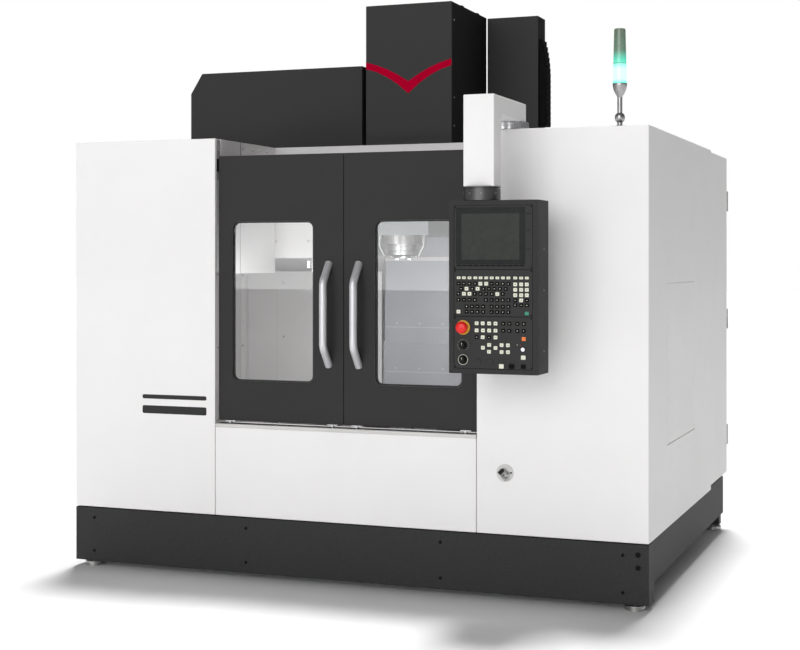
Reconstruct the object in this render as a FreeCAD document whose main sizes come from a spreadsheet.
"""Vertical machining centre, about 2.8 m wide, with sliding doors and a swivelling control pendant.

Frame: X to the right, Y to the rear, Z up, in millimetres. The origin is on the floor, at the
centre of the machine's bounding box.
"""
import FreeCAD, Part
import math
import os
import re
import Sketcher

# Driving sizes, in millimetres and degrees. Heights ending in _top and _bottom are above the floor.
SIZES = {
    # whole machine
    "cabinet_width": 2800,
    "body_depth": 2194,
    "switch_stand": 14,
    "switch_height": 1500,
    "hinge_inset": 8,
    "door_deep": 54,
    "pendant_reach": 350,
    "foot_height": 30,
    "plinth_top": 290,
    "plinth_depth": 107,
    "cabinet_top": 2050,
    "side_depth": 1595,
    "panel_thick": 20,
    "sheet": 3,
    "seam": 2,
    "hatch_front": 417,
    "hatch_back": 1091,
    "hatch_bottom": 658,
    "hatch_top": 1380,
    # door opening and doors
    "opening_half": 640,
    "sill_bottom": 702,
    "sill_top": 730,
    "door_bottom": 732,
    "door_top": 1968,
    "door_thick": 28,
    "door_set_back": 26,
    "door_gap": 4,
    "window_bottom": 915,
    "window_top": 1663,
    "window_inner": 150,
    "window_outer": 72,
    "window_corner": 36,
    "glass_thick": 8,
    "grip_radius": 18,
    "grip_stand": 65,
    "grip_bottom": 985,
    "grip_top": 1482,
    "grip_slant": 105,
    "grip_inset": 74,
    # roof and upper guards
    "roof_front": 652,
    "roof_lip": 36,
    "fascia_bottom": 1416,
    "guard_front": 760,
    "guard_left": 1188,
    "guard_right": 210,
    "guard_rise": 410,
    "guard_depth": 640,
    "guard_chamfer_wide": 66,
    "guard_chamfer_high": 104,
    "duct_left": 302,
    "duct_right": 575,
    "duct_front": 1231,
    "duct_depth": 140,
    "duct_rise": 690,
    # head and spindle
    "spindle_back": 800,
    "nose_bottom": 1501,
    "nose_radius": 78,
    "flange_radius": 100,
    "taper_radius": 22,
    "cover_left": 162,
    "cover_right": 290,
    "cover_front": 690,
    "cover_depth": 565,
    "cover_rise": 697,
    "head_half": 188,
    "head_front": 640,
    "head_bottom": 1604,
    "head_top": 1960,
    "head_travel": 560,
    "motor_radius": 98,
    # bed, column and slides
    "bed_half": 480,
    "bed_front": 180,
    "bed_bottom": 60,
    "bed_top": 400,
    "pan_bottom": 210,
    "pan_deep": 180,
    "column_front": 1500,
    "column_depth": 360,
    "column_half": 320,
    "column_top": 2300,
    "column_wall": 60,
    "rail_wide": 45,
    "rail_high": 40,
    "y_rail_half": 330,
    "z_rail_half": 150,
    "x_rail_half": 170,
    "run_gap": 0.4,
    "saddle_half": 400,
    "saddle_deep": 580,
    "beam_half": 760,
    "beam_deep": 440,
    "saddle_thick": 130,
    "table_long": 1150,
    "table_wide": 500,
    "table_top": 790,
    "table_thick": 80,
    "slot_neck": 18,
    "slot_neck_deep": 22,
    "slot_head": 30,
    "slot_head_deep": 13,
    "slot_pitch": 125,
    "screw_radius": 20,
    "screw_bore_gap": 4,
    # tool changer
    "arm_reach": 330,
    "arm_bottom": 1442,
    "arm_thick": 34,
    "arm_wide": 90,
    "fork_radius": 34,
    "shaft_radius": 45,
    "disc_height": 1920,
    "disc_radius": 300,
    "disc_thick": 40,
    "disc_back": 1130,
    "pot_radius": 36,
    "pot_length": 120,
    "pot_count": 16,
    "changer_left": 1100,
    "changer_right": 235,
    "changer_front": 703,
    "changer_lift": 94,
    "notch_left": 415,
    "notch_right": 640,
    # pendant
    "arm_across": 764,
    "arm_width": 134,
    "leg_depth": 100,
    "pendant_arm_rise": 117,
    "pendant_beam": 82,
    "leg_bottom": 1786,
    "beam_back": 125,
    "pivot_back": 88,
    "pivot_radius": 86,
    "swivel_radius": 77,
    "panel_left": 640,
    "panel_right": 1022,
    "panel_bottom": 1014,
    "panel_top": 1728,
    "panel_deep": 160,
    "panel_front": 365,
    "button_tip": 35,
    "control_inset": 62,
    "e_stop_height": 190,
    "feed_knob_height": 117,
    "mode_knob_height": 57,
    "key_inset": 63,
    "key_height": 104,
    "start_inset": 153,
    "stop_inset": 111,
    "push_height": 34,
    # small fittings
    "lamp_across": 1259,
    "lamp_back": 80,
    "lamp_high": 420,
    "coupling_across": 772,
    "coupling_height": 557,
    "guard_overlap": 16,
    "guard_high": 300,
    "guard_half": 330,
}

# Places worked out from the driving sizes.
PLACES = {
    "front": "(panel_front + button_tip - body_depth) / 2",
    "half": "cabinet_width / 2",
    "guard_top": "cabinet_top + guard_rise",
    "duct_top": "cabinet_top + duct_rise",
    "cover_top": "cabinet_top + cover_rise",
    "pendant_arm_top": "cabinet_top + pendant_arm_rise",
    "back": "front + body_depth",
    "door_front": "front + door_set_back",
    "door_back": "door_front + door_thick",
    "spindle_y": "front + spindle_back",
    "column_y": "front + column_front",
    "saddle_bottom": "bed_top + rail_high + 10",
    "saddle_top": "saddle_bottom + saddle_thick",
    "table_bottom": "table_top - table_thick",
    "panel_y": "front - panel_front",
    "leg_y": "front - pendant_reach",
    "swivel_y": "leg_y + leg_depth / 2",
    "pivot_y": "front + pivot_back",
    "arm_pivot_x": "0 - arm_reach",
    "disc_y": "front + disc_back",
    "disc_x": "0 - 2 * arm_reach",
    "inner_wall": "half - 200",
    "inner_back": "column_front - 100",
    "screw_z": "bed_top + 8",
    "x_screw_z": "saddle_top + 35",
    "z_screw_y": "column_y - 60",
    "leg_tall": "pendant_arm_top - leg_bottom",
    "beam_long": "pendant_reach + beam_back",
    "shield_y": "column_y - 112",
}

WORD = re.compile(r"[a-z][a-z0-9_]*")
NODES = []

doc = FreeCAD.newDocument("machining_centre")


def make_sheet():
    sheet = doc.addObject("Spreadsheet::Sheet", "sizes")
    for row, (word, value) in enumerate(SIZES.items(), start=1):
        sheet.set(f"A{row}", word)
        sheet.set(f"B{row}", str(value))
        sheet.setAlias(f"B{row}", word)
    doc.recompute()


def bound(text):
    """Write a sum of size and place words as a spreadsheet expression."""

    def swap(match):
        word = match.group(0)
        if word in PLACES:
            return "(" + bound(PLACES[word]) + ")"
        return "sizes." + word

    return WORD.sub(swap, str(text))


def number(text):
    """The value of a sum of size and place words, for counts, angles and fillets."""

    def swap(match):
        word = match.group(0)
        if word in PLACES:
            return "(" + str(number(PLACES[word])) + ")"
        return str(SIZES[word])

    terms = WORD.sub(swap, str(text))
    return float(FreeCAD.Units.Quantity(terms).Value)


def place(item, x="0", y="0", z="0", turn=None):
    """Put an item at bound coordinates, turned by (axis, degrees)."""
    if turn:
        axis = FreeCAD.Vector(*turn[0])
        item.Placement = FreeCAD.Placement(FreeCAD.Vector(), FreeCAD.Rotation(axis, turn[1]))
    for letter, text in zip("xyz", (x, y, z)):
        item.setExpression(f".Placement.Base.{letter}", bound(text))
    return item


def keep(item, name):
    """Name an item as a node of the machine."""
    item.Label = name
    NODES.append(item)
    return item


def block(x, y, z):
    """A box between three pairs of bound coordinates."""
    item = doc.addObject("Part::Box", "block")
    for side, (low, high) in zip(("Length", "Width", "Height"), (x, y, z)):
        item.setExpression(side, bound(f"({high}) - ({low})"))
    return place(item, x[0], y[0], z[0])


def rod(radius, length, x, y, z, turn=None):
    """A cylinder from a bound point, along Z or along the turned axis."""
    item = doc.addObject("Part::Cylinder", "rod")
    item.setExpression("Radius", bound(radius))
    item.setExpression("Height", bound(length))
    return place(item, x, y, z, turn)


def joined(*items):
    item = doc.addObject("Part::MultiFuse", "joined")
    item.Shapes = list(items)
    return item


def cut(base, *tools):
    item = doc.addObject("Part::Cut", "cut")
    item.Base = base
    item.Tool = tools[0] if len(tools) == 1 else joined(*tools)
    return item


def group(*items):
    """Separate solids of one node."""
    item = doc.addObject("Part::Compound", "group")
    item.Links = list(items)
    return item


def rounded(item, radius, axis):
    """Round the edges of an item that run along an axis."""
    doc.recompute()
    along = FreeCAD.Vector(*axis)
    edges = []
    for index, edge in enumerate(item.Shape.Edges, start=1):
        if edge.Curve.TypeId != "Part::GeomLine":
            continue
        if abs(abs(edge.tangentAt(edge.FirstParameter).dot(along)) - 1) < 1e-6:
            edges.append((index, number(radius), number(radius)))
    result = doc.addObject("Part::Fillet", "rounded")
    result.Base = item
    result.Edges = edges
    return result


def profile(body, plane, points):
    """A closed sketch through bound points, measured from the body's own origin."""
    sketch = body.newObject("Sketcher::SketchObject", "outline")
    for feature in body.Origin.OriginFeatures:
        if feature.Role == plane:
            sketch.AttachmentSupport = [(feature, "")]
    sketch.MapMode = "FlatFace"
    spots = [FreeCAD.Vector(number(u), number(v), 0) for u, v in points]
    count = len(points)
    for index in range(count):
        line = Part.LineSegment(spots[index], spots[(index + 1) % count])
        sketch.addGeometry(line, False)
    for index in range(count):
        join = Sketcher.Constraint("Coincident", index, 2, (index + 1) % count, 1)
        sketch.addConstraint(join)
    for index, (u, v) in enumerate(points):
        for kind, text in (("DistanceX", u), ("DistanceY", v)):
            size = Sketcher.Constraint(kind, -1, 1, index, 1, number(text))
            row = sketch.addConstraint(size)
            sketch.setExpression(f"Constraints[{row}]", bound(text))
    return sketch


def prism(points, length):
    """A pad of an XZ outline, from y = 0 to y = -length."""
    body = doc.addObject("PartDesign::Body", "prism")
    sketch = profile(body, "XZ_Plane", points)
    pad = body.newObject("PartDesign::Pad", "pad")
    pad.Profile = sketch
    pad.setExpression("Length", bound(length))
    sketch.Visibility = False
    return body


def turned(points):
    """A body of revolution about its own Z axis, from an outline of radius and height."""
    body = doc.addObject("PartDesign::Body", "turned")
    sketch = profile(body, "XZ_Plane", points)
    spin = body.newObject("PartDesign::Revolution", "spin")
    spin.Profile = sketch
    spin.ReferenceAxis = (sketch, ["V_Axis"])
    spin.Angle = 360
    return body


def tray(x, y, z, open_side):
    """A folded sheet panel: a box hollowed from one side, named like +y or -x."""
    wall = {"x": list(x), "y": list(y), "z": list(z)}
    inner = {a: [f"{low} + sheet", f"{high} - sheet"] for a, (low, high) in wall.items()}
    sign, axis = open_side
    end = 1 if sign == "+" else 0
    inner[axis][end] = f"{wall[axis][end]} {sign} sheet"
    outside = block(x, y, z)
    inside = block(inner["x"], inner["y"], inner["z"])
    return cut(outside, inside)


# --- structure -----------------------------------------------------------------------------


def bed():
    """Cast bed: a broad block, with a raised pedestal behind that carries the column."""
    low = block(("-bed_half", "bed_half"), ("front + bed_front", "column_y"),
                ("bed_bottom", "bed_top"))
    heel = block(("-column_half - 80", "column_half + 80"),
                 ("column_y", "column_y + column_depth + 60"), ("bed_bottom", "bed_top + 120"))
    trough = block(("-y_rail_half + 90", "y_rail_half - 90"),
                   ("front + bed_front + 60", "column_y - 60"), ("bed_top - 90", "bed_top + 1"))
    screw_bore = rod("screw_radius + run_gap", "column_front", "0", "column_y", "screw_z",
                     ((1, 0, 0), 90))
    keep(cut(joined(low, heel), trough, screw_bore), "bed")


def column():
    """Hollow cast column on the bed, open at the rear for the counter-wiring."""
    floor = "bed_top + 120"
    outside = block(("-column_half", "column_half"), ("column_y", "column_y + column_depth"),
                    (floor, "column_top"))
    hollow = block(("-column_half + column_wall", "column_half - column_wall"),
                   ("column_y + column_wall", "column_y + column_depth + 1"),
                   (f"{floor} + 200", "column_top - 80"))
    keep(cut(outside, hollow), "column")


def levelling_feet():
    """Eight threaded pads: four under the bed and four under the cabinet corners."""
    pads = []
    for y, x_half in (("front + bed_front + 60", "bed_half - 60"),
                      ("column_y + column_depth / 2", "column_half")):
        for x in (f"-({x_half})", x_half):
            pad = rod("55", "foot_height - 5", x, y, "0")
            stud = rod("14", "bed_bottom - foot_height + 5", x, y, "foot_height - 5")
            pads.append(joined(pad, stud))
    for x in ("-half + 70", "half - 70"):
        for y in ("front + 60", "back - 110"):
            pad = rod("45", "foot_height - 10", x, y, "0")
            stud = rod("12", "10", x, y, "foot_height - 10")
            pads.append(joined(pad, stud))
    keep(group(*pads), "levelling_feet")


def linear_rails():
    """Y rails on the bed and Z rails on the column."""
    rails = []
    for x in ("-y_rail_half", "y_rail_half"):
        rails.append(block((f"{x} - rail_wide / 2", f"{x} + rail_wide / 2"),
                           ("front + bed_front + 10", "column_y - 10"),
                           ("bed_top", "bed_top + rail_high")))
    for x in ("-z_rail_half", "z_rail_half"):
        rails.append(block((f"{x} - rail_wide / 2", f"{x} + rail_wide / 2"),
                           ("column_y - rail_high", "column_y"),
                           ("head_bottom - head_travel - 60", "head_top + 40")))
    keep(group(*rails), "linear_rails")


def chassis():
    """Dark base: the broad bar across the front and the rails set in under the panels."""
    bar = block(("-half", "half"), ("front", "front + plinth_depth"),
                ("foot_height", "plinth_top - 4"))
    hollow = block(("-half + 8", "half - 8"), ("front + 8", "front + plinth_depth + 1"),
                   ("foot_height + 8", "plinth_top - 12"))
    keep(cut(bar, hollow), "plinth_bar")
    rails = []
    for side in ("-", ""):
        low, high = sorted((f"{side}(half - 90)", f"{side}(half - 18)"), key=number)
        rails.append(block((low, high), ("front + plinth_depth", "back - 80"),
                           ("foot_height + 60", "plinth_top")))
    rails.append(block(("-half + 90", "half - 90"), ("back - 140", "back - 80"),
                       ("foot_height", "foot_height + 200")))
    for side in ("-", ""):
        low, high = sorted((f"{side}(half - 110)", f"{side}(half - 30)"), key=number)
        rails.append(block((low, high), ("back - 150", "back - 80"),
                           ("foot_height", "foot_height + 60")))
    keep(joined(*rails), "chassis_rails")


# --- enclosure -----------------------------------------------------------------------------


def front_panels():
    """Two cabinet fronts beside the doors and a low panel between them."""
    depth = ("front", "front + panel_thick")
    heights = ("plinth_top", "cabinet_top")
    keep(tray(("-half", "-opening_half - seam"), depth, heights, "+y"), "front_panel_left")
    keep(tray(("opening_half + seam", "half"), depth, heights, "+y"), "front_panel_right")
    keep(tray(("-opening_half", "opening_half"), depth, ("plinth_top", "sill_bottom"), "+y"),
         "front_panel_centre")
    sill = block(("-opening_half", "opening_half"), ("front - 2", "front + 95"),
                 ("sill_bottom", "sill_top - 12"))
    keep(sill, "door_sill")


def side_panels():
    """Long side sheets, the right one with an opening behind its access hatch."""
    depth = ("front + panel_thick + seam", "front + side_depth")
    heights = ("plinth_top", "cabinet_top")
    left = block(("-half", "-half + panel_thick"), depth, heights)
    keep(left, "side_panel_left")
    hatch_y = ("front + hatch_front", "front + hatch_back")
    hatch_z = ("hatch_bottom", "hatch_top")
    right = block(("half - panel_thick", "half"), depth, heights)
    window = block(("half - panel_thick - 1", "half + 1"),
                   (f"{hatch_y[0]} + 25", f"{hatch_y[1]} - 25"),
                   (f"{hatch_z[0]} + 25", f"{hatch_z[1]} - 25"))
    recess = block(("half - sheet", "half + 1"), hatch_y, hatch_z)
    keep(cut(right, window, recess), "side_panel_right")
    hatch = block(("half - sheet", "half"),
                  (f"{hatch_y[0]} + seam", f"{hatch_y[1]} - seam"),
                  (f"{hatch_z[0]} + seam", f"{hatch_z[1]} - seam"))
    keep(hatch, "side_hatch")


def magazine_well():
    """The opening in the roof and the left cabinet top that the pot disc passes through."""
    return block(("disc_x - disc_radius - 60", "arm_pivot_x + 40"),
                 ("front + guard_front + 40", "front + guard_front + guard_depth - 60"),
                 ("cabinet_top - 20", "cabinet_top + 1"))


def roof():
    """Flat cabinet tops, the roof with its cut-out for the head, and the inner upper fascias."""
    tops = []
    for side in ("-", ""):
        low, high = sorted((f"{side}(half - panel_thick)", f"{side}(opening_half + 8)"), key=number)
        tops.append(block((low, high), ("front + panel_thick", "front + side_depth"),
                          ("cabinet_top - sheet", "cabinet_top")))
    keep(group(cut(tops[0], magazine_well()), tops[1]), "cabinet_tops")
    plate = block(("-opening_half - 8 + seam", "opening_half + 8 - seam"),
                  ("front + roof_front", "front + side_depth"),
                  ("cabinet_top - sheet", "cabinet_top"))
    lip = block(("-opening_half - 8 + seam", "opening_half + 8 - seam"),
                ("front + roof_front", "front + roof_front + sheet"),
                ("cabinet_top - roof_lip", "cabinet_top"))
    hole = block(("-cover_left - 14", "cover_right + 8"),
                 ("front + cover_front - 14", "front + column_front + column_depth"),
                 ("cabinet_top - 20", "cabinet_top + 1"))
    post = block(("-column_half - 8", "column_half + 8"),
                 ("column_y - 8", "front + column_front + column_depth"),
                 ("cabinet_top - 20", "cabinet_top + 1"))
    keep(cut(joined(plate, lip), hole, post, magazine_well()), "roof_cover")
    fascias = []
    for side in ("-", ""):
        low, high = sorted((f"{side}(opening_half + 8)", f"{side}(opening_half + 4)"), key=number)
        fascias.append(block((low, high), ("front + 62", "front + roof_front"),
                             ("fascia_bottom", "cabinet_top")))
    keep(group(*fascias), "upper_fascias")


def splash_walls():
    """Inner sheets around the work area: two sides and the two rear walls beside the column."""
    walls = []
    for sign, top in (("-", "fascia_bottom"), ("", "cabinet_top - sheet")):
        low, high = sorted((f"{sign}inner_wall", f"{sign}(inner_wall + sheet)"), key=number)
        walls.append(block((low, high), ("front + 120", "front + inner_back"),
                           ("pan_bottom", "cabinet_top - sheet")))
        low, high = sorted((f"{sign}(guard_half + 26)", f"{sign}(inner_wall + sheet)"), key=number)
        walls.append(block((low, high), ("front + inner_back", "front + inner_back + sheet"),
                           ("bed_top", top)))
    keep(group(*walls), "splash_walls")
    outer = block(("-inner_wall + seam", "inner_wall - seam"),
                  ("front + plinth_depth + 13", "front + inner_back - seam"),
                  ("pan_bottom", "pan_bottom + pan_deep"))
    inner = block(("-inner_wall + seam + sheet", "inner_wall - seam - sheet"),
                  ("front + plinth_depth + 13 + sheet", "front + inner_back - seam - sheet"),
                  ("pan_bottom + sheet", "pan_bottom + pan_deep + 1"))
    hole = block(("-bed_half - run_gap", "bed_half + run_gap"),
                 ("front + bed_front - run_gap", "front + inner_back + 9"),
                 ("bed_bottom", "pan_bottom + pan_deep + 9"))
    pan = cut(outer, inner, hole)
    tank = tray(("-half + 90", "-bed_half - 30"), ("front + 200", "front + 1200"),
                ("foot_height", "pan_bottom - 20"), "+z")
    keep(group(pan, tank), "chip_pan_and_tank")


def rear_cabinets():
    """Electrical cabinet at the right rear and the service cabinet at the left rear."""
    face = "back - switch_stand"
    depth = ("front + side_depth", f"{face} - door_deep - run_gap")
    heights = ("plinth_top + 22", "cabinet_top - 10")
    case = tray(("column_half + 100", "half"), depth, heights, "+y")
    gland = rod("22", "30", "half - 300", "back - 140", "cabinet_top - 10")
    keep(joined(case, gland), "electrical_cabinet")
    case = tray(("-half", "-column_half - 100"), depth, heights, "+y")
    door_z = ("plinth_top + 44", "cabinet_top - 38")
    door_y = (f"{face} - door_deep", face)
    door = tray(("column_half + 102", "half - hinge_inset"), door_y, door_z, "-y")
    knuckles = [rod("7", "110", "half - hinge_inset", f"{face} + 3", z)
                for z in ("plinth_top + 170", "switch_height - 400", "cabinet_top - 300")]
    hole = rod("10 + run_gap", "80", "half - 200", "back + 10", "switch_height", ((1, 0, 0), 90))
    keep(cut(joined(door, *knuckles), hole), "electrical_door")
    cover = tray(("-half + 2", "-column_half - 102"), door_y, door_z, "-y")
    keep(group(case, cover), "service_cabinet")
    switch = turned([("0", "0"), ("10", "0"), ("10", "46"), ("32", "46"), ("32", "58"), ("0", "58")])
    keep(place(switch, "half - 200", "back - 58", "switch_height", ((1, 0, 0), -90)), "main_switch")


# --- slides and table ----------------------------------------------------------------------


def carriage(rail_x, rail_y, low, high, along):
    """A bearing block around a rail that runs along x, y or z, with a running gap."""
    wide = "rail_wide / 2"
    if along == "y":
        body = block((f"{rail_x} - 45", f"{rail_x} + 45"), (f"{rail_y} - 60", f"{rail_y} + 60"),
                     (low, high))
        slot = block((f"{rail_x} - {wide} - run_gap", f"{rail_x} + {wide} + run_gap"),
                     (f"{rail_y} - 61", f"{rail_y} + 61"), (f"{low} - 1", f"{high} - 10 + run_gap"))
    else:
        body = block((f"{rail_x} - 60", f"{rail_x} + 60"), (f"{rail_y} - 45", f"{rail_y} + 45"),
                     (low, high))
        slot = block((f"{rail_x} - 61", f"{rail_x} + 61"),
                     (f"{rail_y} - {wide} - run_gap", f"{rail_y} + {wide} + run_gap"),
                     (f"{low} - 1", "saddle_top + rail_high + run_gap"))
    return cut(body, slot)


def saddle():
    """Cross slide: a centre block on four Y carriages and a long beam with the X rails."""
    centre = block(("-saddle_half", "saddle_half"),
                   ("spindle_y - saddle_deep / 2", "spindle_y + saddle_deep / 2"),
                   ("saddle_bottom", "saddle_top"))
    beam = block(("-beam_half", "beam_half"),
                 ("spindle_y - beam_deep / 2", "spindle_y + beam_deep / 2"),
                 ("saddle_bottom", "saddle_top"))
    pieces = [centre, beam]
    for x in ("-y_rail_half", "y_rail_half"):
        for y in ("spindle_y - saddle_deep / 2 + 62", "spindle_y + saddle_deep / 2 - 62"):
            pieces.append(carriage(x, y, "bed_top + 12", "saddle_bottom", "y"))
    nut = block(("-55", "55"), ("spindle_y - 60", "spindle_y + 60"),
                ("screw_z - 45", "saddle_bottom"))
    pieces.append(nut)
    for x in ("-beam_half + 20", "beam_half - 20"):
        pieces.append(block((f"{x} - 20", f"{x} + 20"), ("spindle_y - 45", "spindle_y + 45"),
                            ("saddle_top", "x_screw_z + 40")))
    y_bore = rod("screw_radius + screw_bore_gap", "140", "0", "spindle_y + 70", "screw_z",
                 ((1, 0, 0), 90))
    x_bore = rod("screw_radius + run_gap", "2 * beam_half + 2", "-beam_half - 1", "spindle_y",
                 "x_screw_z", ((0, 1, 0), 90))
    keep(cut(joined(*pieces), y_bore, x_bore), "saddle")
    drive = []
    for y in ("spindle_y - x_rail_half", "spindle_y + x_rail_half"):
        drive.append(block(("-beam_half", "beam_half"), (f"{y} - rail_wide / 2", f"{y} + rail_wide / 2"),
                           ("saddle_top", "saddle_top + rail_high")))
    drive.append(block(("beam_half + 8", "beam_half + 178"), ("spindle_y - 55", "spindle_y + 55"),
                       ("saddle_top + 2", "saddle_top + 112")))
    drive.append(block(("beam_half", "beam_half + 8"), ("spindle_y - 60", "spindle_y + 60"),
                       ("saddle_bottom + 20", "saddle_top + 114")))
    keep(group(*drive[:2], joined(*drive[2:])), "x_drive")


def table():
    """Work table with three T-slots along X, on four carriages with the X nut below."""
    points = [("0", "0"), ("table_wide", "0"), ("table_wide", "table_thick")]
    deep = "table_thick - slot_neck_deep"
    base = f"{deep} - slot_head_deep"
    for step in (1, 0, -1):
        middle = f"table_wide / 2 + {step} * slot_pitch"
        neck = (f"{middle} + slot_neck / 2", f"{middle} - slot_neck / 2")
        head = (f"{middle} + slot_head / 2", f"{middle} - slot_head / 2")
        points += [(neck[0], "table_thick"), (neck[0], deep), (head[0], deep), (head[0], base)]
        points += [(head[1], base), (head[1], deep), (neck[1], deep), (neck[1], "table_thick")]
    points.append(("0", "table_thick"))
    plate = prism(points, "table_long")
    place(plate, "-table_long / 2", "spindle_y - table_wide / 2", "table_bottom", ((0, 0, 1), 90))
    pieces = [plate]
    for x in ("-190", "190"):
        for y in ("spindle_y - x_rail_half", "spindle_y + x_rail_half"):
            pieces.append(carriage(x, y, "saddle_top + 12", "table_bottom", "x"))
    pieces.append(block(("-60", "60"), ("spindle_y - 45", "spindle_y + 45"),
                        ("saddle_top + 2", "table_bottom")))
    bore = rod("screw_radius + screw_bore_gap", "130", "-65", "spindle_y", "x_screw_z",
               ((0, 1, 0), 90))
    keep(cut(joined(*pieces), bore), "table")


def screws_and_motors():
    """Three ball screws and the root body's two servo motors."""
    keep(rod("screw_radius", "column_front - bed_front - 60", "0", "column_y - 30", "screw_z",
             ((1, 0, 0), 90)), "y_screw")
    keep(rod("screw_radius", "2 * beam_half - 2", "-beam_half + 1", "spindle_y", "x_screw_z",
             ((0, 1, 0), 90)), "x_screw")
    low = "head_bottom - head_travel - 60"
    keep(rod("screw_radius", f"column_top - ({low})", "0", "z_screw_y", low), "z_screw")
    plate = block(("-115", "115"), ("z_screw_y - 75", "column_y + 200"),
                  ("column_top", "column_top + 30"))
    motor = block(("-85", "85"), ("z_screw_y - 85", "z_screw_y + 85"),
                  ("column_top + 30", "column_top + 290"))
    side = block(("90", "200"), ("front + bed_front + 75", "front + bed_front + 275"),
                 ("bed_top - 90", "bed_top + 20"))
    keep(group(joined(plate, motor), side), "axis_motors")


# --- head, spindle and their covers ---------------------------------------------------------


def head():
    """Spindle head on the column rails, its tall cover and the fixed spindle housing."""
    rear = "column_y - 100"
    body = block(("-head_half", "head_half"), ("front + head_front", rear),
                 ("head_bottom", "head_top"))
    shelf = block(("-cover_left", "cover_right"),
                  ("front + cover_front", "front + cover_front + cover_depth"),
                  ("head_top - 60", "head_top"))
    pieces = [body, shelf]
    for x in ("-z_rail_half", "z_rail_half"):
        for z in ("head_bottom + 60", "head_top - 80"):
            pad = block((f"{x} - 36", f"{x} + 36"), (rear, "column_y - 12"),
                        (f"{z} - 50", f"{z} + 50"))
            slot = block((f"{x} - rail_wide / 2 - run_gap", f"{x} + rail_wide / 2 + run_gap"),
                         ("column_y - rail_high - run_gap", "column_y"), (f"{z} - 51", f"{z} + 51"))
            pieces.append(cut(pad, slot))
    pieces.append(block(("-42", "42"), (rear, "column_y - 22"),
                        ("head_bottom + 130", "head_bottom + 230")))
    nut_bore = rod("screw_radius + screw_bore_gap", "120", "0", "z_screw_y", "head_bottom + 120")
    quill = rod("56", "head_top - head_bottom + 2", "0", "spindle_y", "head_bottom - 1")
    casting = cut(joined(*pieces), nut_bore, quill)
    motor = rod("motor_radius", "540", "0", "spindle_y", "head_top")
    keep(group(casting, motor), "head_casting")
    cover = tray(("-cover_left", "cover_right"),
                 ("front + cover_front", "front + cover_front + cover_depth"),
                 ("head_top", "cover_top"), "-z")
    shield = block(("-guard_half", "guard_half"), ("shield_y", "shield_y + sheet"),
                   ("head_bottom - guard_high", "head_bottom"))
    keep(group(cover, shield), "head_cover")
    outline = [("56", "0"), ("nose_radius - 6", "0"), ("nose_radius", "6"), ("nose_radius", "18"),
               ("nose_radius - 3", "20"), ("nose_radius - 3", "26"), ("nose_radius", "28"),
               ("nose_radius", "56"), ("flange_radius", "60"),
               ("flange_radius", "head_bottom - nose_bottom"), ("56", "head_bottom - nose_bottom")]
    keep(place(turned(outline), "0", "spindle_y", "nose_bottom"), "spindle_housing")


def spindle():
    """Rotating spindle: taper bore for a tool shank and two drive keys on its face."""
    outline = [("taper_radius", "0"), ("44", "0"), ("44", "12"), ("56 - run_gap", "12"),
               ("56 - run_gap", "head_top - nose_bottom + 10"), ("0", "head_top - nose_bottom + 10"),
               ("0", "110"), ("12", "110"), ("12.7", "65")]
    shaft = place(turned(outline), "0", "spindle_y", "nose_bottom - 12")
    keys = []
    for x in ("-33", "33"):
        keys.append(block((f"{x} - 9", f"{x} + 9"), ("spindle_y - 8", "spindle_y + 8"),
                          ("nose_bottom - 20", "nose_bottom - 12")))
    keep(joined(shaft, *keys), "spindle")


def column_guards():
    """Two lower plates of the telescopic cover in front of the Z rails."""
    middle = "head_bottom - guard_high - head_travel / 2"
    keep(block(("-guard_half - 4", "guard_half + 4"),
               ("shield_y + sheet + run_gap", "shield_y + 2 * sheet + run_gap"),
               (middle, "head_bottom - guard_high + guard_overlap")), "guard_slide")
    low = "head_bottom - head_travel - 240"
    face = "shield_y + 3 * sheet + 2 * run_gap"
    plate = block(("-guard_half - 14", "guard_half + 14"), ("shield_y + 2 * (sheet + run_gap)", face),
                  (low, f"{middle} + guard_overlap"))
    foot = block(("-guard_half + 30", "guard_half - 30"), (face, "column_y"), (low, f"{low} + 40"))
    keep(joined(plate, foot), "column_guard")


def upper_guards():
    """Dark hood over the tool magazine, and the cable duct with its carrier behind the head."""
    wide = "guard_left - guard_right"
    tall = "guard_top - cabinet_top"
    outer = prism([("0", "0"), (wide, "0"), (wide, tall), ("guard_chamfer_wide", tall),
                   ("0", f"{tall} - guard_chamfer_high")], "guard_depth")
    place(outer, "-guard_left", "front + guard_front + guard_depth", "cabinet_top")
    inner = prism([("sheet", "0"), (f"{wide} - sheet", "0"), (f"{wide} - sheet", f"{tall} - sheet"),
                   ("guard_chamfer_wide + sheet / 2", f"{tall} - sheet"),
                   ("sheet", f"{tall} - guard_chamfer_high - sheet / 2")],
                  "guard_depth - 2 * sheet")
    place(inner, "-guard_left", "front + guard_front + guard_depth - sheet", "cabinet_top - 1")
    keep(cut(outer, inner), "magazine_guard")
    duct = tray(("duct_left", "duct_right"), ("front + duct_front", "front + duct_front + duct_depth"),
                ("cabinet_top", "duct_top"), "-z")
    carrier = rounded(block(("duct_right", "duct_right + 38"),
                            ("front + duct_front + 20", "front + duct_front + 120"),
                            ("duct_top - 565", "duct_top - 120")), "18", (0, 1, 0))
    keep(group(duct, carrier), "cable_duct")


# --- tool changer ---------------------------------------------------------------------------


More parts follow.
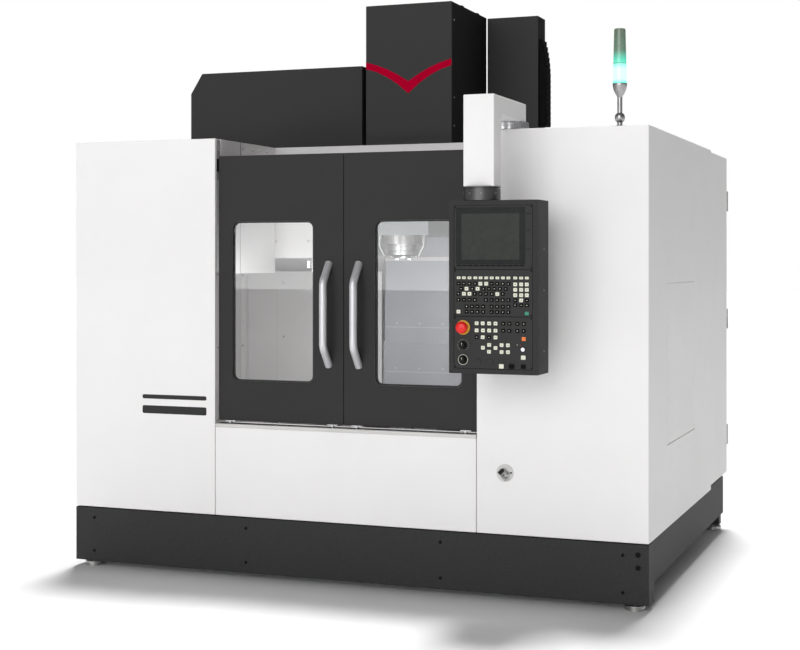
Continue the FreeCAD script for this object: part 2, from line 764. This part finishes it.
def tool_changer():
    """Drive box, double arm, pot disc, and the light cover around them in the work area."""
    box = block(("arm_pivot_x - 85", "arm_pivot_x + 85"), ("spindle_y - 80", "spindle_y + 110"),
                ("arm_bottom + 118", "arm_bottom + 470"))
    link = block(("disc_x + disc_radius + pot_radius + 6", "arm_pivot_x + 75"),
                 ("spindle_y + 110", "column_y"), ("arm_bottom + 400", "arm_bottom + 470"))
    beam = block(("disc_x - 45", "disc_x + 45"), ("disc_y + disc_thick + 1", "column_y + 80"),
                 ("disc_height - 60", "disc_height + 60"))
    cross = block(("disc_x - 45", "-column_half"), ("column_y + 20", "column_y + 80"),
                  ("disc_height - 60", "disc_height + 60"))
    hub = rod("30 - run_gap", "disc_thick + 20", "disc_x", "disc_y + disc_thick + 2",
              "disc_height", ((1, 0, 0), 90))
    keep(joined(box, link, beam, cross, hub), "changer_drive")
    bar = block(("arm_pivot_x - arm_wide / 2", "arm_pivot_x + arm_wide / 2"),
                ("spindle_y - arm_reach - 12", "spindle_y + arm_reach + 12"),
                ("arm_bottom", "arm_bottom + arm_thick"))
    shaft = rod("shaft_radius", "118 - run_gap", "arm_pivot_x", "spindle_y", "arm_bottom")
    forks = [rod("fork_radius", "arm_thick + 2", "arm_pivot_x", f"spindle_y {sign} arm_reach",
                 "arm_bottom - 1") for sign in "+-"]
    keep(cut(joined(bar, shaft), *forks), "tool_arm")
    disc = rod("disc_radius - 10", "disc_thick", "disc_x", "disc_y + disc_thick", "disc_height",
               ((1, 0, 0), 90))
    bore = rod("30", "disc_thick + 2", "disc_x", "disc_y + disc_thick + 1", "disc_height",
               ((1, 0, 0), 90))
    pots = []
    count = int(number("pot_count"))
    for index in range(count):
        pot = rod("pot_radius", "pot_length + disc_thick", "disc_radius", "0", "0", ((1, 0, 0), 90))
        ring = doc.addObject("Part::Compound", "pot")
        ring.Links = [pot]
        turn = FreeCAD.Rotation(FreeCAD.Vector(0, 1, 0), 360 * (index + 0.5) / count)
        ring.Placement = FreeCAD.Placement(FreeCAD.Vector(), turn)
        place(ring, "disc_x", "disc_y + disc_thick", "disc_height")
        pots.append(ring)
    keep(joined(cut(disc, bore), *pots), "magazine_disc")
    low, step, high = "fascia_bottom", "fascia_bottom + 77", "cabinet_top - sheet"
    wide = "changer_left - changer_right"
    outline = [("0", "0"), ("notch_left", "0"), ("notch_left", f"{step} - {low}"),
               ("notch_right", f"{step} - {low}"), ("notch_right", "0"), ("notch_right + 55", "0"),
               ("notch_right + 55", "changer_lift"), (wide, "changer_lift"), (wide, f"{high} - {low}"),
               ("0", f"{high} - {low}")]
    face = place(prism(outline, "sheet"), "-changer_left", "front + changer_front", low)
    side = block(("-changer_right - sheet", "-changer_right"), ("front + changer_front", "front + 1200"),
                 ("fascia_bottom + changer_lift", high))
    left = block(("-changer_left", "-changer_left + sheet"),
                 ("front + changer_front", "front + inner_back"), (low, high))
    keep(joined(face, side, left), "tool_changer_cover")


# --- doors ----------------------------------------------------------------------------------


def grip_tube(stand, slant, length, radius):
    """A round bar that slants out from the door, runs upright, and slants back in."""
    corners = [FreeCAD.Vector(0, 0, 0), FreeCAD.Vector(0, -stand, slant),
               FreeCAD.Vector(0, -stand, length - slant), FreeCAD.Vector(0, 0, length)]
    start = corners[0]
    edges = []
    for before, corner, after in zip(corners, corners[1:], corners[2:]):
        one = (before - corner).normalize()
        two = (after - corner).normalize()
        reach = 1.5 * radius
        middle = (one + two).normalize()
        bend = one.getAngle(two) / 2
        centre = corner + middle * (reach / math.cos(bend))
        arc_radius = reach * math.tan(bend)
        inside = centre - middle * arc_radius
        edges.append(Part.LineSegment(start, corner + one * reach).toShape())
        edges.append(Part.Arc(corner + one * reach, inside, corner + two * reach).toShape())
        start = corner + two * reach
    edges.append(Part.LineSegment(start, corners[-1]).toShape())
    ring = Part.Wire(Part.Circle(corners[0], corners[1] - corners[0], radius).toShape())
    return Part.Wire(edges).makePipeShell([ring], True, False)


def door(side, name):
    """One sliding door: framed leaf with rollers and hanger, its pane and its grip tube."""
    sign = "-" if side < 0 else ""

    def span(inner, outer):
        return sorted((f"{sign}({inner})", f"{sign}({outer})"), key=number)

    leaf = block(span("1.5", "opening_half - door_gap"), ("door_front", "door_back"),
                 ("door_bottom", "door_top"))
    window = span("window_inner", "opening_half - window_outer")
    opening = rounded(block(window, ("door_front - 1", "door_back + 1"),
                            ("window_bottom", "window_top")), "window_corner", (0, 1, 0))
    pieces = [cut(leaf, opening)]
    for middle in ("60", "opening_half - 60"):
        pieces.append(block(span(f"{middle} - 25", f"{middle} + 25"), ("door_front + 6", "door_back - 6"),
                            ("sill_top - 12 + run_gap", "door_bottom")))
    pieces.append(block(span("opening_half - 40", "opening_half + 70"), ("door_back", "door_back + 6"),
                        ("door_top - 70", "door_top - 10")))
    pieces.append(block(span("opening_half + 30", "opening_half + 70"), ("door_back + 6", "door_back + 44"),
                        ("door_top - 70", "door_top - 40")))
    keep(joined(*pieces), name)
    pane = rounded(block(window, ("door_back - 14", "door_back - 14 + glass_thick"),
                         ("window_bottom", "window_top")), "window_corner", (0, 1, 0))
    keep(pane, name + "_glass")
    grip_x = f"{sign}grip_inset"
    tube = doc.addObject("Part::Feature", "tube")
    tube.Shape = grip_tube(number("grip_stand"), number("grip_slant"),
                           number("grip_top - grip_bottom"), number("grip_radius"))
    place(tube, grip_x, "door_front", "grip_bottom")
    trim = block((f"{grip_x} - 60", f"{grip_x} + 60"), ("door_front", "door_front + 60"),
                 ("grip_bottom - 60", "grip_top + 60"))
    keep(cut(tube, trim), name + "_grip")


def door_tracks():
    """Sill tracks that run into the cabinets and the upper rails for the hangers."""
    tracks = []
    for sign in ("-", ""):
        low, high = sorted((f"{sign}(half - panel_thick)", f"{sign}opening_half"), key=number)
        tracks.append(block((low, high), ("door_front - 3", "door_back + 20"),
                            ("sill_bottom", "sill_top - 12")))
        low, high = sorted((f"{sign}(half - panel_thick)", f"{sign}(opening_half + 8)"), key=number)
        tracks.append(block((low, high), ("door_back + 10", "door_back + 40"),
                            ("door_top - 104", "door_top - 70 - run_gap")))
    keep(group(*tracks), "door_tracks")


# --- pendant and small fittings -------------------------------------------------------------


def pendant():
    """Swivelling control pendant: pivot on the cabinet top, L-shaped arm, swivel and panel."""
    keep(rod("pivot_radius", "pendant_arm_top - pendant_beam - cabinet_top - run_gap",
             "arm_across", "pivot_y", "cabinet_top"), "pendant_pivot")
    points = [("0", "0"), ("leg_depth", "0"), ("leg_depth", "leg_tall - pendant_beam"),
              ("beam_long", "leg_tall - pendant_beam"), ("beam_long", "leg_tall"), ("0", "leg_tall")]
    arm = place(prism(points, "arm_width"), "arm_across - arm_width / 2", "leg_y", "leg_bottom",
                ((0, 0, 1), 90))
    keep(arm, "pendant_arm")
    keep(rod("swivel_radius", "leg_bottom - panel_top - run_gap", "arm_across", "swivel_y",
             "panel_top"), "pendant_swivel")
    housing = block(("panel_left", "panel_right"), ("panel_y", "panel_y + panel_deep"),
                    ("panel_bottom", "panel_top"))
    holes = [rod(f"{stem} + run_gap", "36", x, "panel_y + 35", z,
                 ((1, 0, 0), 90)) for name, x, z, stem in CONTROLS]
    keep(cut(housing, *holes), "pendant_housing")
    for name, x, z, stem in CONTROLS:
        outline = CONTROL_SHAPES[name.split("_")[-1]]
        piece = turned([(r.replace("stem", stem), h) for r, h in outline])
        keep(place(piece, x, "panel_y + 25", z, ((1, 0, 0), 90)), name)


CONTROLS = [
    ("e_stop", "panel_left + control_inset", "panel_bottom + e_stop_height", "8"),
    ("feed_knob", "panel_left + control_inset", "panel_bottom + feed_knob_height", "4"),
    ("mode_knob", "panel_left + control_inset", "panel_bottom + mode_knob_height", "4"),
    ("key_switch", "panel_right - key_inset", "panel_bottom + key_height", "9"),
    ("start_button", "panel_right - start_inset", "panel_bottom + push_height", "9"),
    ("stop_button", "panel_right - stop_inset", "panel_bottom + push_height", "9"),
]

# Outlines of radius and height, from the inner end of the stem, 25 mm behind the panel face.
CONTROL_SHAPES = {
    "stop": [("0", "0"), ("stem", "0"), ("stem", "41"), ("25", "41"), ("25", "51"),
             ("20", "57"), ("10", "25 + button_tip"), ("0", "25 + button_tip")],
    "knob": [("0", "0"), ("stem", "0"), ("stem", "26"), ("17", "26"), ("16", "46"), ("0", "46")],
    "switch": [("0", "0"), ("stem", "0"), ("stem", "28"), ("7", "30"), ("0", "30")],
    "button": [("0", "0"), ("stem", "0"), ("stem", "31"), ("8", "33"), ("0", "33")],
}


def fittings():
    """Signal lamp on the cabinet top and the wash-gun coupling on the cabinet front."""
    stand = [("0", "0"), ("37", "0"), ("37", "10"), ("22", "12"), ("22", "40"), ("25", "58"),
             ("22", "76"), ("10.5", "84"), ("10.5", "lamp_high - 205"), ("24", "lamp_high - 200"),
             ("31", "lamp_high - 165"), ("0", "lamp_high - 165")]
    lens = [("0", "lamp_high - 165"), ("31", "lamp_high - 165"), ("27", "lamp_high - 20"),
            ("20", "lamp_high - 4"), ("0", "lamp_high")]
    pieces = [place(turned(points), "lamp_across", "front + lamp_back", "cabinet_top")
              for points in (stand, lens)]
    keep(group(*pieces), "signal_lamp")
    flange = rod("40", "8", "coupling_across", "front", "coupling_height", ((1, 0, 0), 90))
    boss = rod("22", "34", "coupling_across", "front", "coupling_height", ((1, 0, 0), 90))
    spout = rod("15", "74", "coupling_across + 8", "front - 20", "coupling_height - 6",
                ((0, 1, 0), -48))
    keep(joined(flange, boss, spout), "gun_coupling")


def build():
    make_sheet()
    bed()
    column()
    levelling_feet()
    linear_rails()
    chassis()
    front_panels()
    side_panels()
    roof()
    splash_walls()
    rear_cabinets()
    saddle()
    table()
    screws_and_motors()
    head()
    spindle()
    column_guards()
    upper_guards()
    tool_changer()
    door(-1, "door_left")
    door(1, "door_right")
    door_tracks()
    pendant()
    fittings()


def export():
    os.makedirs("parts", exist_ok=True)
    doc.recompute()
    for item in doc.Objects:
        if "Invalid" in item.State or "Error" in item.State:
            raise RuntimeError(f"{item.Label} failed: {item.State}")
    for item in NODES:
        shape = item.Shape
        if shape.isNull() or not shape.isValid():
            raise RuntimeError(f"{item.Label} has no valid shape")
        shape.exportStep(f"parts/{item.Label}.step")
        box = shape.BoundBox
        print(f"{item.Label}: {len(shape.Solids)} solids, {box.XMin:.0f} {box.XMax:.0f}, "
              f"{box.YMin:.0f} {box.YMax:.0f}, {box.ZMin:.0f} {box.ZMax:.0f}")


build()
export()
